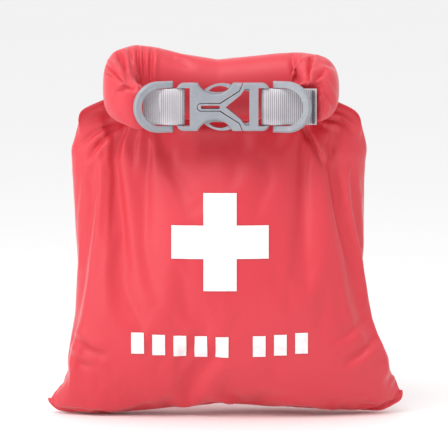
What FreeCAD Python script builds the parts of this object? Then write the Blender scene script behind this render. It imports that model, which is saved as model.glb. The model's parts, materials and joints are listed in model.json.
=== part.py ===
"""Roll-top first aid pouch: a filled fabric bag whose rolled collar is held by a side-release buckle.

Millimetres. +Z is up, +X is to the wearer's right when the buckle side is faced, and -Y is the front.
The origin is the centre of the flat base. One STEP file per piece is written to parts/.
"""

import math
import os

import FreeCAD
import Part
from FreeCAD import Vector

# ---------------------------------------------------------------- driving dimensions
WEBBING_WIDTH = 20.0
WEBBING = 1.3  # webbing thickness
SEWN_GAP = 0.1  # between the strap's two layers where they are sewn together
FABRIC = 0.8  # coated fabric wall
TAPE = 0.3  # seam tape inside the bag
GAP = 0.3  # clearance between pieces that move past each other

BAG_TOP = 176.0  # height of the slit between the two panels
BASE_HEIGHT = 2.5  # the base panel turns up this far
ROLL_Y = -12.8  # middle of the rolled collar, behind the buckle
ROLL_Z = 189.5
ROLL_HALF_THICK = 12.0
ROLL_STRAIGHT = 42.0  # half length of the collar's straight middle
BEND_R = 12.5  # the collar's ends fold forward round this radius
CLOSURE_Y = -39.0  # mid-plane of straps, rings and buckle
CLOSURE_Z = 177.0
NECK_PIVOT_Z = 177.6  # the collar folds over the bag about this line
NECK_HALF = 1.0  # half thickness of the neck's gathered fabric

BUCKLE_THICK = 9.2
BUCKLE_HALF = 13.2  # half height of the buckle
PLATE = 1.8  # front and back plates of the socket
SOCKET_LEFT = -22.9
PLUG_RIGHT = 28.4
SOCKET_BAR_X = -21.4
PLUG_BAR_X = 26.8
BAR_R = 1.5  # the round bars of the buckle and the rings that the webbing turns round
BAR_LENGTH = 21.6
STRAP_SPREAD = 1.7  # half gap between the strap's layers where the bars lie
LATCH_KNUCKLE = 1.4  # radius of each latch arm's root
LATCH_PIVOT = (17.0, 9.9)  # flexure of each latch arm, x and height above the middle

STIFFENER = (36.0, 1.0, 9.0, 4.0)  # half length, thickness, half height, corner radius
STIFFENER_ROOM = 0.2  # clearance round the pair in the roll

RING_BAR_X = {"left": -26.5, "right": 32.0}
RING_TILT = {"left": 22.0, "right": 26.0}
STRAP_TAIL_X = {"left": -52.5, "right": 54.5}
ROLL_END_X = {"left": -44.0, "right": 46.0}

# Height, left and right edge, front and back depth, and roundness of the bag's level sections.
# A roundness over 1 draws the side seams out to a point; under 1 it squares the section.
SECTIONS = (
    (0.0, -72.0, 75.0, -21.0, 19.0, 1.0),
    (3.0, -86.0, 91.0, -25.5, 23.0, 1.2),
    (10.0, -96.0, 103.0, -30.0, 27.5, 1.4),
    (27.0, -87.0, 96.0, -33.0, 30.0, 1.1),
    (56.0, -81.0, 84.0, -34.5, 31.5, 0.85),
    (92.0, -79.5, 81.5, -34.5, 31.5, 0.8),
    (125.0, -80.5, 81.5, -33.0, 30.0, 0.8),
    (149.0, -81.5, 81.5, -29.0, 27.0, 0.85),
    (161.0, -80.0, 79.5, -22.0, 21.0, 0.95),
    (170.0, -76.0, 77.0, -12.5, 12.5, 1.0),
    (BAG_TOP, -67.0, 67.0, -2.2, 2.2, 1.0),
)


def save(name, shape):
    """Writes one node, after a check that it is made of sound closed solids."""
    solids = shape.Solids
    if not solids or not all(s.isValid() and s.isClosed() for s in solids):
        raise RuntimeError(name + " is not sound")
    if any(s.Volume < 0 for s in solids):
        shape = Part.makeCompound([s.reversed() if s.Volume < 0 else s for s in solids])
    shape = solids[0] if len(solids) == 1 else Part.makeCompound(solids)
    shape.exportStep("parts/%s.step" % name)
    print("%-26s %2d solid %9.1f mm3" % (name, len(solids), sum(s.Volume for s in solids)))


def box(x, y, z):
    """A box from three (low, high) pairs."""
    size = [high - low for low, high in (x, y, z)]
    return Part.makeBox(*size, Vector(x[0], y[0], z[0]))


def rounded_slab(x, y, z, corner):
    """A box whose four edges along Y are rounded."""
    slab = box(x, y, z)
    return slab.makeFillet(corner, [e for e in slab.Edges if abs(e.tangentAt(e.FirstParameter).y) > 0.99])


def bar(x):
    """An upright round bar, in the buckle's own frame."""
    return Part.makeCylinder(BAR_R, BAR_LENGTH, Vector(x, 0, -BAR_LENGTH / 2))


def prism_xz(edges, y_low, y_high):
    """A prism along Y on an outline drawn in the XZ plane."""
    face = Part.Face(Part.Wire(Part.__sortEdges__(edges)))
    face.translate(Vector(0, y_low, 0))
    return face.extrude(Vector(0, y_high - y_low, 0))


def outline(points):
    """Straight edges in the XZ plane through the points, closed."""
    spots = [Vector(x, 0, z) for x, z in points]
    return [Part.makeLine(a, b) for a, b in zip(spots, spots[1:] + spots[:1])]


# ---------------------------------------------------------------- bag
def level_section(z, left, right, front, back, roundness, inset):
    """A closed curve at one height, drawn in by the inset."""
    points = []
    count = 20
    sharp = 1.0 + 1.2 * max(0.0, roundness - 0.9)
    for i in range(count):
        angle = 2 * math.pi * i / count
        c, s = math.cos(angle), math.sin(angle)
        half_x = (right if c > 0 else -left) - inset * sharp * 1.6
        half_y = (back if s > 0 else -front) - inset
        points.append(Vector(half_x * c, half_y * math.copysign(abs(s) ** roundness, s), z))
    curve = Part.BSplineCurve()
    curve.interpolate(Points=points, PeriodicFlag=True)
    return Part.Wire(curve.toShape())


def bag_form(inset):
    """The filled bag's outer form, drawn in by the inset and open or closed by its end levels."""
    wires = []
    for z, left, right, front, back, roundness in SECTIONS:
        level = z
        if z == 0.0:
            level = inset
        if z == BAG_TOP and inset:
            level = BAG_TOP + 1.0
        wires.append(level_section(level, left, right, front, back, roundness, inset))
    return Part.makeLoft(wires, True, False)


def bag_panels():
    """Front, back and base panels, meeting at the side and base seams."""
    shell = bag_form(0.0).cut(bag_form(FABRIC))
    wide = (-150, 150)
    above = (BASE_HEIGHT, BAG_TOP + 5)
    save("front_panel", shell.common(box(wide, (-60, 0), above)))
    save("back_panel", shell.common(box(wide, (0, 60), above)))
    save("base_panel", shell.common(box(wide, (-60, 60), (-1, BASE_HEIGHT))))


def seam_tapes():
    """Welded tape over each side seam, on the inside of the bag."""
    lining = bag_form(FABRIC + 0.02).cut(bag_form(FABRIC + 0.02 + TAPE))
    for side, x in (("left", (-150, 0)), ("right", (0, 150))):
        save("seam_tape_" + side, lining.common(box(x, (-8, 8), (8, 169))))


# ---------------------------------------------------------------- rolled collar
def roll_section(centre, across, half_thick, half_height):
    """An upright squared oval centred on a point, with its thickness along a level direction."""
    points = []
    count = 16
    for i in range(count):
        angle = 2 * math.pi * i / count
        c, s = math.cos(angle), math.sin(angle)
        out = math.copysign(abs(c) ** 0.85, c) * half_thick
        up = math.copysign(abs(s) ** 0.85, s) * half_height
        points.append(centre + across * out + Vector(0, 0, up))
    curve = Part.BSplineCurve()
    curve.interpolate(Points=points, PeriodicFlag=True)
    return Part.Wire(curve.toShape())


def collar_middle():
    """The straight middle of the roll, with the pocket that its two lip stiffeners lie in."""
    across = Vector(0, 1, 0)
    wires = [
        roll_section(Vector(x, ROLL_Y, ROLL_Z + rise), across, ROLL_HALF_THICK, half)
        for x, rise, half in (
            (-ROLL_STRAIGHT, 0.5, 17.5),
            (-14.0, 0.0, 15.5),
            (20.0, 0.0, 15.2),
            (ROLL_STRAIGHT, 0.2, 17.0),
        )
    ]
    roll = Part.makeLoft(wires, True, False)
    half_length, thick, half_height, corner = STIFFENER
    x = (-half_length - STIFFENER_ROOM, half_length + STIFFENER_ROOM)
    y = (ROLL_Y - GAP - thick - STIFFENER_ROOM, ROLL_Y + GAP + thick + STIFFENER_ROOM)
    z = (ROLL_Z - half_height - STIFFENER_ROOM, ROLL_Z + half_height + STIFFENER_ROOM)
    pocket = box(x, y, z)
    behind = box((-70, 70), (-NECK_HALF, 10), (ROLL_Z - 30, ROLL_Z + 30))
    save("collar_roll_middle", roll.cut(pocket).cut(behind))
    for name, low in (("lip_stiffener_front", -GAP - thick), ("lip_stiffener_back", GAP)):
        y = (ROLL_Y + low, ROLL_Y + low + thick)
        z = (ROLL_Z - half_height, ROLL_Z + half_height)
        save(name, rounded_slab((-half_length, half_length), y, z, corner))


def collar_end(side):
    """One end of the roll, folded forward and tapering to where the strap is sewn in."""
    sign = -1 if side == "left" else 1
    tip_x = ROLL_END_X[side] * sign
    middle = Vector(ROLL_STRAIGHT, ROLL_Y - BEND_R, 0)
    wires = []
    start_half = 17.5 if side == "left" else 17.0
    start_rise = 0.5 if side == "left" else 0.2
    stages = (
        (0.0, ROLL_HALF_THICK, start_half, ROLL_Z + start_rise),
        (45.0, 12.0, 18.5, ROLL_Z),
        (90.0, 11.5, 18.0, ROLL_Z - 3.0),
        (135.0, 9.0, 16.0, ROLL_Z - 8.0),
    )
    for turn, half_thick, half_height, z in stages:
        angle = math.radians(turn)
        out = Vector(sign * math.sin(angle), math.cos(angle), 0)
        centre = Vector(sign * middle.x, middle.y, z) + out * BEND_R
        wires.append(roll_section(centre, out, half_thick, half_height))
    tip = Vector(sign * tip_x, CLOSURE_Y, CLOSURE_Z)
    wires.append(roll_section(tip, Vector(0, -1, 0), 3.2, 12.5))
    end = Part.makeLoft(wires, True, False)
    tail = sorted((ROLL_END_X[side] - sign, STRAP_TAIL_X[side] + sign * GAP))
    half = WEBBING + SEWN_GAP / 2 + GAP
    slot = box(tail, (CLOSURE_Y - half, CLOSURE_Y + half), strap_span(GAP))
    save("collar_roll_%s_end" % side, end.cut(slot))


def neck():
    """The double layer of fabric between the bag's slit and the roll, with a round lower edge."""
    length = 2 * ROLL_STRAIGHT
    start = Vector(-ROLL_STRAIGHT, 0, NECK_PIVOT_Z)
    bead = Part.makeCylinder(NECK_HALF, length, start, Vector(1, 0, 0))
    web = box(
        (-ROLL_STRAIGHT, ROLL_STRAIGHT), (-NECK_HALF, NECK_HALF), (NECK_PIVOT_Z, ROLL_Z + 5.0)
    )
    save("collar_neck", bead.fuse(web).removeSplitter())


# ---------------------------------------------------------------- straps and rings
def strap_span(extra=0.0):
    """Lowest and highest level of the webbing."""
    half = WEBBING_WIDTH / 2 + extra
    return (CLOSURE_Z - half, CLOSURE_Z + half)


def strap(side, bar_x):
    """Webbing folded round the buckle's bar, both layers sewn together in the roll's end."""
    sign = -1 if side == "left" else 1
    sewn_x = RING_BAR_X[side] + sign * 7.0
    apart_x = RING_BAR_X[side] + sign * 2.2
    tail_x = STRAP_TAIL_X[side]

    def loop(pad, tail):
        """The loop's outline grown by a pad, from the tail round the bar and back."""
        close, wide = SEWN_GAP / 2 + pad, STRAP_SPREAD + pad
        front = [(tail, -close), (sewn_x, -close), (apart_x, -wide), (bar_x, -wide)]
        spots = [Vector(x, CLOSURE_Y + y, strap_span()[0]) for x, y in front]
        back = [Vector(x, CLOSURE_Y - y, strap_span()[0]) for x, y in front]
        top = Vector(bar_x - sign * wide, CLOSURE_Y, strap_span()[0])
        edges = [Part.makeLine(a, b) for a, b in zip(spots, spots[1:])]
        edges += [Part.makeLine(a, b) for a, b in zip(back, back[1:])]
        edges.append(Part.Arc(spots[-1], top, back[-1]).toShape())
        edges.append(Part.makeLine(spots[0], back[0]))
        face = Part.Face(Part.Wire(Part.__sortEdges__(edges)))
        return face.extrude(Vector(0, 0, WEBBING_WIDTH))

    save(side + "_strap", loop(WEBBING, tail_x).cut(loop(0.0, tail_x + sign * 1.0)))


def ring_outline(half_height, nose, straight, back):
    """A D in the XZ plane: a straight back, level sides and a half-oval nose towards +X."""
    centre, tip = Vector(straight, 0, 0), Vector(nose, 0, 0)
    top = Vector(straight, 0, half_height)
    if nose - straight > half_height:
        arc = Part.ArcOfEllipse(Part.Ellipse(tip, top, centre), -math.pi / 2, math.pi / 2)
    else:
        arc = Part.ArcOfEllipse(Part.Ellipse(top, tip, centre), 0, math.pi)
    low = Vector(straight, 0, -half_height)
    corners = (Vector(back, 0, half_height), Vector(back, 0, -half_height))
    sides = ((corners[0], top), (corners[1], low), corners)
    return [arc.toShape()] + [Part.makeLine(p, q) for p, q in sides]


def ring(side):
    """A moulded D-ring whose bar is caught between the strap's two layers."""
    sign = -1 if side == "left" else 1
    half = STRAP_SPREAD
    solid = prism_xz(ring_outline(14.2, 21.5, 7.0, -BAR_R), -half, half)
    rim = [e for e in solid.Edges if abs(abs(e.CenterOfMass.y) - half) < 0.01]
    solid = solid.makeChamfer(0.9, rim)
    solid = solid.cut(prism_xz(ring_outline(10.6, 17.4, 6.2, -9.0), -4, 4))
    solid = solid.fuse(bar(0.0))
    if sign < 0:
        solid = solid.mirror(Vector(0, 0, 0), Vector(1, 0, 0))
    solid.rotate(Vector(0, 0, 0), Vector(0, 0, 1), -sign * RING_TILT[side])
    solid.translate(Vector(RING_BAR_X[side], CLOSURE_Y, CLOSURE_Z))
    save(side + "_d_ring", solid)


# ---------------------------------------------------------------- buckle
# The buckle is drawn in XZ about its own middle height, then moved to the closure's mid-plane.
HALF_THICK = BUCKLE_THICK / 2
SCALLOP = (-1.6, 17.9, 10.8)  # x, height and radius of the finger scallops
STEM_HALF = 2.35  # half height of the slot that guides the plug's stem
STEM_LEFT = -11.7
FORK = ((0.9, 2.6), (11.6, 9.1), (13.4, 13.4))  # the parting line, upper half
CATCH_X = 8.8  # face of the socket's mouth that the latches catch on
STEM_SLOT = (-8.6, 0.1, 0.95)  # left and right end and half height of the slot along the stem
THROUGH = (-10, 10)  # right through the buckle, front to back
WEBBING_WAY = (-10.6, 10.6)  # height of the slots that the webbing passes through
BAR_WAY = (-10.4, 10.4)  # height left open in front of and behind each bar


def placed(solid):
    """Moves a solid from the buckle's own frame to the closure."""
    solid.translate(Vector(0, CLOSURE_Y, CLOSURE_Z))
    return solid


def rounded_plate(left, right, half, corner_left, corner_right, edge):
    """A plate of the buckle's thickness with rounded corners and eased rims."""
    solid = box((left, right), (-HALF_THICK, HALF_THICK), (-half, half))
    for x, radius in ((left, corner_left), (right, corner_right)):
        if radius:
            corners = [
                e
                for e in solid.Edges
                if abs(e.CenterOfMass.x - x) < 0.01 and abs(abs(e.CenterOfMass.z) - half) < 0.01
            ]
            solid = solid.makeFillet(radius, corners)
    rim = [e for e in solid.Edges if abs(abs(e.CenterOfMass.y) - HALF_THICK) < 0.01]
    return solid.makeChamfer(edge, rim)


def fork_area(shrink, right):
    """The Y of the plug as an outline: its stem, its two diagonal arms and all to their right."""
    half = STEM_HALF - shrink
    lean = 0.9 * shrink  # sideways part of the shrink on the diagonals
    upper = [(x + lean, z - shrink * 0.6) for x, z in FORK]
    upper[0] = (upper[0][0], half)
    top = upper[-1][1] + 2.0
    ends = [(upper[-1][0] + 1.1, top), (right, top)]
    points = upper + ends
    lower = [(x, -z) for x, z in reversed(points)]
    nose = STEM_LEFT + STEM_HALF
    start, stop = Vector(nose, 0, half), Vector(nose, 0, -half)
    spots = [start] + [Vector(x, 0, z) for x, z in points + lower] + [stop]
    edges = [Part.makeLine(a, b) for a, b in zip(spots, spots[1:])]
    edges.append(Part.Arc(stop, Vector(nose - half, 0, 0), start).toShape())
    return edges


def socket():
    """The socket: two plates forked round the plug's stem, with side scallops over the latches."""
    body = rounded_plate(SOCKET_LEFT, 15.5, BUCKLE_HALF, 4.2, 0, 0.9)
    for flip in (1, -1):
        x, z, radius = SCALLOP
        base = Vector(x, -HALF_THICK - 1, flip * z)
        cutter = Part.makeCylinder(radius, BUCKLE_THICK + 2, base, Vector(0, 1, 0))
        rim = Part.makeCone(radius + 1.0, radius - 0.1, 1.1, base + Vector(0, 0.9, 0), Vector(0, 1, 0))
        far = base + Vector(0, BUCKLE_THICK + 1.1, 0)
        rim_back = Part.makeCone(radius + 1.0, radius - 0.1, 1.1, far, Vector(0, -1, 0))
        body = body.cut(cutter).cut(rim).cut(rim_back)
    body = body.cut(prism_xz(fork_area(0.0, 30.0), -HALF_THICK - 1, HALF_THICK + 1))
    body = body.cut(box((SOCKET_BAR_X + STRAP_SPREAD, -15.6), THROUGH, WEBBING_WAY))
    hollow = HALF_THICK - PLATE
    cavity = box((-13.0, CATCH_X), (-hollow, hollow), (-20, 20))
    mouth = box((CATCH_X - 1, 20), (-hollow, hollow), (-11.0, 11.0))
    body = body.cut(cavity).cut(mouth)
    body = body.cut(box((SOCKET_LEFT - 1, SOCKET_BAR_X + STRAP_SPREAD + 0.1), THROUGH, BAR_WAY))
    body = body.fuse(bar(SOCKET_BAR_X)).removeSplitter()
    save("buckle_socket", placed(body))


def plug_frame():
    """The plug: a Y-shaped stem that guides it, a window, and a bar for the strap."""
    body = rounded_plate(-14.0, PLUG_RIGHT, BUCKLE_HALF, 0, 4.2, 0.9)
    body = body.common(prism_xz(fork_area(0.45, 40.0), -HALF_THICK - 1, HALF_THICK + 1))
    left, right, half = STEM_SLOT
    stem_slot = box((left, right), THROUGH, (-half, half))
    for x in (left, right):
        stem_slot = stem_slot.fuse(Part.makeCylinder(half, 20, Vector(x, -10, 0), Vector(0, 1, 0)))
    window = [(4.2, 0), (12.4, 6.7), (14.8, 10.2), (17.3, 10.2)]
    window += [(x, -z) for x, z in reversed(window[1:])]
    body = body.cut(stem_slot).cut(prism_xz(outline(window), -10, 10))
    body = body.cut(box((22.3, PLUG_BAR_X - BAR_R), THROUGH, WEBBING_WAY))
    body = body.cut(box((PLUG_BAR_X - BAR_R - 0.1, PLUG_RIGHT + 1), THROUGH, BAR_WAY))
    body = body.fuse(bar(PLUG_BAR_X))
    hollow = HALF_THICK - PLATE
    for flip in (1, -1):
        pocket = latch_sweep(flip)
        body = body.cut(pocket.common(box((-20, 40), (-hollow, hollow), (-20, 20))))
    save("buckle_plug_frame", placed(body.removeSplitter()))


def latch_profile(flip):
    """Outline of a latch arm: a neck through the mouth, a catch and a bowed finger pad."""
    outer = [(14.0, 10.7), (CATCH_X - 0.6, 10.7), (CATCH_X - 0.6, 11.8)]
    pad = [(6.6, 12.4), (1.6, 13.0), (-3.0, 12.0), (-7.2, 9.6)]
    inner = [(-8.4, 8.0), (-7.8, 6.9), (1.0, 6.6), (6.4, 7.5), (10.2, 9.0), (14.0, 9.1)]
    up = [Vector(x, 0, flip * z) for x, z in outer]
    bow = [up[-1]] + [Vector(x, 0, flip * z) for x, z in pad]
    curve = Part.BSplineCurve()
    curve.interpolate(Points=bow)
    low = [Vector(x, 0, flip * z) for x, z in inner]
    spots = [up[0], up[1], up[2]]
    edges = [Part.makeLine(a, b) for a, b in zip(spots, spots[1:])]
    edges.append(curve.toShape())
    chain = [bow[-1]] + low + [up[0]]
    edges += [Part.makeLine(a, b) for a, b in zip(chain, chain[1:])]
    return edges


def latch_solid(flip):
    """One latch arm in the buckle's own frame."""
    half = HALF_THICK - PLATE - 0.3
    px, pz = LATCH_PIVOT
    arm = prism_xz(latch_profile(flip), -half, half)
    neck_piece = box((13.5, px), (-half, half), tuple(sorted((flip * 9.1, flip * 10.7))))
    root = Vector(px, -half, flip * pz)
    knuckle = Part.makeCylinder(LATCH_KNUCKLE, 2 * half, root, Vector(0, 1, 0))
    lens = []
    arcs = (((-5.2, 9.0), (1.2, 11.7), (6.4, 9.8)), ((6.4, 9.8), (1.0, 8.1), (-5.2, 9.0)))
    for a, b, c in arcs:
        ends = [Vector(x, 0, flip * z) for x, z in (a, b, c)]
        lens.append(Part.Arc(*ends).toShape())
    arm = arm.cut(prism_xz(lens, -half - 1, half + 1))
    return arm.fuse(neck_piece).fuse(knuckle).removeSplitter()


def latch_sweep(flip):
    """The room that a latch arm's root needs in the plug's frame as the arm is pressed in."""
    px, pz = LATCH_PIVOT
    root = Vector(px, -10, flip * pz)
    room = Part.makeCylinder(LATCH_KNUCKLE + GAP, 20, root, Vector(0, 1, 0))
    shape = [(px, 11.1), (px, 8.2), (12.5, 7.9), (9.0, 6.6), (9.0, 11.1)]
    wedge = prism_xz(outline([(x, flip * z) for x, z in shape]), -10, 10)
    return room.fuse(wedge)


def latches():
    """The two spring arms of the plug."""
    for name, flip in (("buckle_upper_latch", 1), ("buckle_lower_latch", -1)):
        save(name, placed(latch_solid(flip)))


# ---------------------------------------------------------------- contents
def packet(name, x, y, z, corner=2.0):
    """A flat wrapped pack with rounded corners."""
    save(name, rounded_slab(x, y, z, corner))


def rolled(name, x, y, z, radius, core):
    """A rolled bandage or tape standing on end, round an open core."""
    height = z[1] - z[0]
    roll = Part.makeCylinder(radius, height, Vector(x, y, z[0]))
    rims = [e for e in roll.Edges if abs(e.CenterOfMass.z - z[0] - height / 2) > height / 3]
    roll = roll.makeFillet(1.0, rims)
    save(name, roll.cut(Part.makeCylinder(core, height + 2, Vector(x, y, z[0] - 1))))


def contents():
    """What a small kit holds, standing in the bag on its base."""
    rolled("bandage_roll_wide", -46, 0, (14, 89), 17.5, 3.0)
    rolled("bandage_roll_narrow", -46, 0, (91, 139), 16.0, 3.0)
    packet("gauze_pack", (-26, 46), (-21, -15), (26, 108))
    packet("triangular_bandage_pack", (-26, 50), (-14, -3), (16, 100))
    packet("plaster_box", (-26, 50), (-2, 9), (14, 108), 1.0)
    packet("rescue_blanket_pack", (-22, 46), (10, 19), (22, 96))
    packet("glove_pack", (-25, 50), (-11, 3), (112, 140), 4.0)
    rolled("tape_roll", 64, 0, (16, 41), 10.5, 6.5)


def main():
    os.makedirs("parts", exist_ok=True)
    bag_panels()
    seam_tapes()
    neck()
    collar_middle()
    for side in ("left", "right"):
        collar_end(side)
        ring(side)
    strap("left", SOCKET_BAR_X)
    strap("right", PLUG_BAR_X)
    socket()
    plug_frame()
    latches()
    contents()


main()
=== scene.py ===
"""Roll-top first aid pouch: the looks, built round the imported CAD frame.

The pouch is a cloth simulation of its two sewn panels, the rolled collar is a folded sweep of fabric,
the webbing is ribbed mesh, and the moulded hardware is the CAD's own. Lengths are metres.
"""

import json
import math

import bpy
import numpy as np
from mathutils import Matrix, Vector
from mathutils.bvhtree import BVHTree

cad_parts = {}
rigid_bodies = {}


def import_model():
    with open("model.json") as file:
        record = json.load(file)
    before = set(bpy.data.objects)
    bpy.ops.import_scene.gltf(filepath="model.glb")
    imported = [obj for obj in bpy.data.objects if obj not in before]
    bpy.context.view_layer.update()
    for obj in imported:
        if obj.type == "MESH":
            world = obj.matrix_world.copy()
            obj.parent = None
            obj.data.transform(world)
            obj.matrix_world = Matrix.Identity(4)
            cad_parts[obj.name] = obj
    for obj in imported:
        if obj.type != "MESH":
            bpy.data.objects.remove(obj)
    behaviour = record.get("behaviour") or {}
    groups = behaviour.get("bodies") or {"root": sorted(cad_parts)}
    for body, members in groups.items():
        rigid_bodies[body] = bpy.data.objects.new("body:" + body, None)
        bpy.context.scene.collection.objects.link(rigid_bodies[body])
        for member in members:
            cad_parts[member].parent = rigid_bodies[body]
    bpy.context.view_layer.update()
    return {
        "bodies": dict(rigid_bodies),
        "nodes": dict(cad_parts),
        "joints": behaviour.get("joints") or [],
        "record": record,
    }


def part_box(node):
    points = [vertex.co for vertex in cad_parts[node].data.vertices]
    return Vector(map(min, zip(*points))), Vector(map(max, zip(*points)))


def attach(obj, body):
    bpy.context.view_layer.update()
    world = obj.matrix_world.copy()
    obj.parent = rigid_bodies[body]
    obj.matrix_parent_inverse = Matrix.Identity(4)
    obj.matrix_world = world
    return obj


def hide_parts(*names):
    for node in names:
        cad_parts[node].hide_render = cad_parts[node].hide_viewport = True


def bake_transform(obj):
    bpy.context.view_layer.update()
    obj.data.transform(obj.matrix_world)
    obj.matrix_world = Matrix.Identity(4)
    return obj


MM = 0.001


# ---------------------------------------------------------------- small helpers
def smooth(edge0, edge1, value):
    """0 before edge0, 1 after edge1, and a smooth step between."""
    t = np.clip((value - edge0) / (edge1 - edge0), 0.0, 1.0)
    return t * t * (3.0 - 2.0 * t)


def mesh_object(name, points, faces, smooth_faces=True):
    """A new mesh object from points and faces, in the scene."""
    mesh = bpy.data.meshes.new(name)
    mesh.from_pydata([tuple(float(c) for c in p) for p in points], [], faces)
    mesh.validate()
    mesh.update()
    for polygon in mesh.polygons:
        polygon.use_smooth = smooth_faces
    made = bpy.data.objects.new(name, mesh)
    bpy.context.scene.collection.objects.link(made)
    return made


def coordinates(mesh):
    """The mesh's points as an array."""
    flat = np.zeros(len(mesh.vertices) * 3)
    mesh.vertices.foreach_get("co", flat)
    return flat.reshape(-1, 3)


def point_normals(mesh):
    """The outward direction at each of the mesh's points, as an array."""
    flat = np.zeros(len(mesh.vertices) * 3)
    mesh.vertex_normals.foreach_get("vector", flat)
    return flat.reshape(-1, 3)


def set_coordinates(mesh, points):
    """Moves the mesh's points, given in metres."""
    mesh.vertices.foreach_set("co", np.asarray(points, float).ravel())
    mesh.update()


def apply_modifiers(piece):
    """Bakes the piece's modifiers into its mesh."""
    graph = bpy.context.evaluated_depsgraph_get()
    baked = bpy.data.meshes.new_from_object(piece.evaluated_get(graph))
    old = piece.data
    piece.modifiers.clear()
    piece.data = baked
    baked.name = piece.name
    bpy.data.meshes.remove(old)


def subdivide(piece, levels=1):
    """Smooths the piece into finer faces; its first points keep their order."""
    modifier = piece.modifiers.new("Subdivision", "SUBSURF")
    modifier.levels = modifier.render_levels = levels
    apply_modifiers(piece)


def run_cloth(piece, frames):
    """Plays the piece's cloth simulation through and keeps its last frame as the mesh."""
    cache = piece.modifiers["Cloth"].point_cache
    cache.frame_start = 1
    cache.frame_end = frames
    scene = bpy.context.scene
    for frame in range(1, frames + 1):
        scene.frame_set(frame)
    graph = bpy.context.evaluated_depsgraph_get()
    settled = coordinates(piece.evaluated_get(graph).to_mesh())
    piece.modifiers.clear()
    piece.shape_key_clear()
    piece.vertex_groups.clear()
    set_coordinates(piece.data, settled)
    scene.frame_set(1)


# ---------------------------------------------------------------- the pouch's form
# Level rings from the base seam up: height, left and right edge, front and back depth (mm), roundness.
RINGS = (
    (0.0, -97.0, 105.0, 0.0, 0.0, 1.0),
    (0.6, -95.0, 103.0, -12.0, 11.0, 1.0),
    (2.5, -95.0, 103.0, -22.0, 20.0, 1.1),
    (8.0, -94.5, 103.0, -29.0, 26.5, 1.2),
    (18.0, -92.5, 101.5, -32.0, 29.0, 1.15),
    (30.0, -88.0, 98.0, -33.5, 30.5, 1.0),
    (44.0, -85.5, 93.5, -34.5, 31.5, 0.9),
    (63.0, -83.5, 88.5, -35.0, 32.0, 0.85),
    (90.0, -82.5, 86.0, -35.0, 32.0, 0.85),
    (122.0, -84.5, 86.0, -33.5, 31.0, 0.85),
    (143.0, -86.0, 86.0, -31.0, 29.0, 0.9),
    (156.0, -86.0, 86.0, -27.0, 25.0, 0.95),
    (166.0, -84.0, 84.0, -20.0, 18.0, 1.0),
    (174.0, -80.0, 80.0, -12.0, 10.0, 1.0),
    (181.0, -76.0, 76.0, -5.0, 3.0, 1.0),
)
COLLAR_STRAIGHT = 42.0  # mm, half length of the roll's straight middle
COLLAR_BEND = 12.5
NECK_Y = -4.0  # the neck comes up into the back of the roll
NECK_BEND = 21.3
NECK_HALF = 72.0  # half the mouth's width, with the cloth at its ends gathered in
NECK_GATHER = 0.22
MOUTH_Z = 183.0
PANEL_COLUMNS = 80
PANEL_ROWS = 68
TAPE_INSET = 0.7  # mm, from the fabric to the seam tape inside it
TAPE_ROWS = range(5, 50)  # rows of the panel that the tape runs along


def neck_path(s):
    """A point of the bag's folded mouth, at signed length s (mm) from its middle: x, y."""
    side = math.copysign(1.0, s)
    turn = max(0.0, abs(s) - COLLAR_STRAIGHT) / NECK_BEND
    x = min(abs(s), COLLAR_STRAIGHT) + NECK_BEND * math.sin(turn)
    return side * x, NECK_Y - NECK_BEND * (1 - math.cos(turn))


def ring_lengths():
    """How far each ring is from the base seam along the front, and the whole, in mm."""
    steps = [0.0]
    for low, high in zip(RINGS, RINGS[1:]):
        steps.append(steps[-1] + math.hypot(high[0] - low[0], high[3] - low[3]))
    return steps


def panel_point(u, v, front):
    """Where a point of a panel starts: u from -1 to 1 across, v from 0 at the base seam to 1 at the mouth."""
    steps = ring_lengths()
    at = v * steps[-1]
    k = max(i for i, s in enumerate(steps[:-1]) if s <= at + 1e-9)
    t = (at - steps[k]) / (steps[k + 1] - steps[k])
    z, left, right, near, far, round_ = (a + (b - a) * t for a, b in zip(RINGS[k], RINGS[k + 1]))
    angle = u * math.pi / 2
    x = (right if u > 0 else -left) * math.sin(angle)
    depth = near if front else far
    y = depth * max(0.0, math.cos(angle)) ** round_
    ear = abs(u) ** 5
    tip = 10.0 if u < 0 else 14.0
    if z < tip * 2.2:
        lift = max(0.0, 1 - z / (tip * 2.2))
        z += ear * tip * lift
    wave = 3.5 * math.exp(-((x + 6) / 34.0) ** 2) * max(0.0, 1 - z / 18.0)
    z += wave
    gather = smooth(156.0, 181.0, z)
    if gather > 0:
        cx, cy = neck_path(u * NECK_HALF * (1 + NECK_GATHER * (1 - u * u)))
        cy += -0.8 if front else 0.8
        x += (cx - x) * gather
        y += (cy - y) * gather
        z += gather * (MOUTH_Z - 181.0)
    return x, y, z


def panel_flat(u, v):
    """The same point on the flat cut panel, in mm."""
    steps = ring_lengths()
    half = 104.0 - 9.5 * smooth(0.0, 0.42, v) - 5.0 * smooth(0.6, 1.0, v)
    length = steps[-1] * (1.0 - 0.10 * abs(u) ** 3)
    low = (steps[-1] - length) * 0.6
    spare = 7.0 * smooth(0.55, 0.9, v) + 26.0 * abs(u) ** 2.5 * smooth(0.68, 1.0, v)
    return u * half, 0.0, low + v * length + spare


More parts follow.
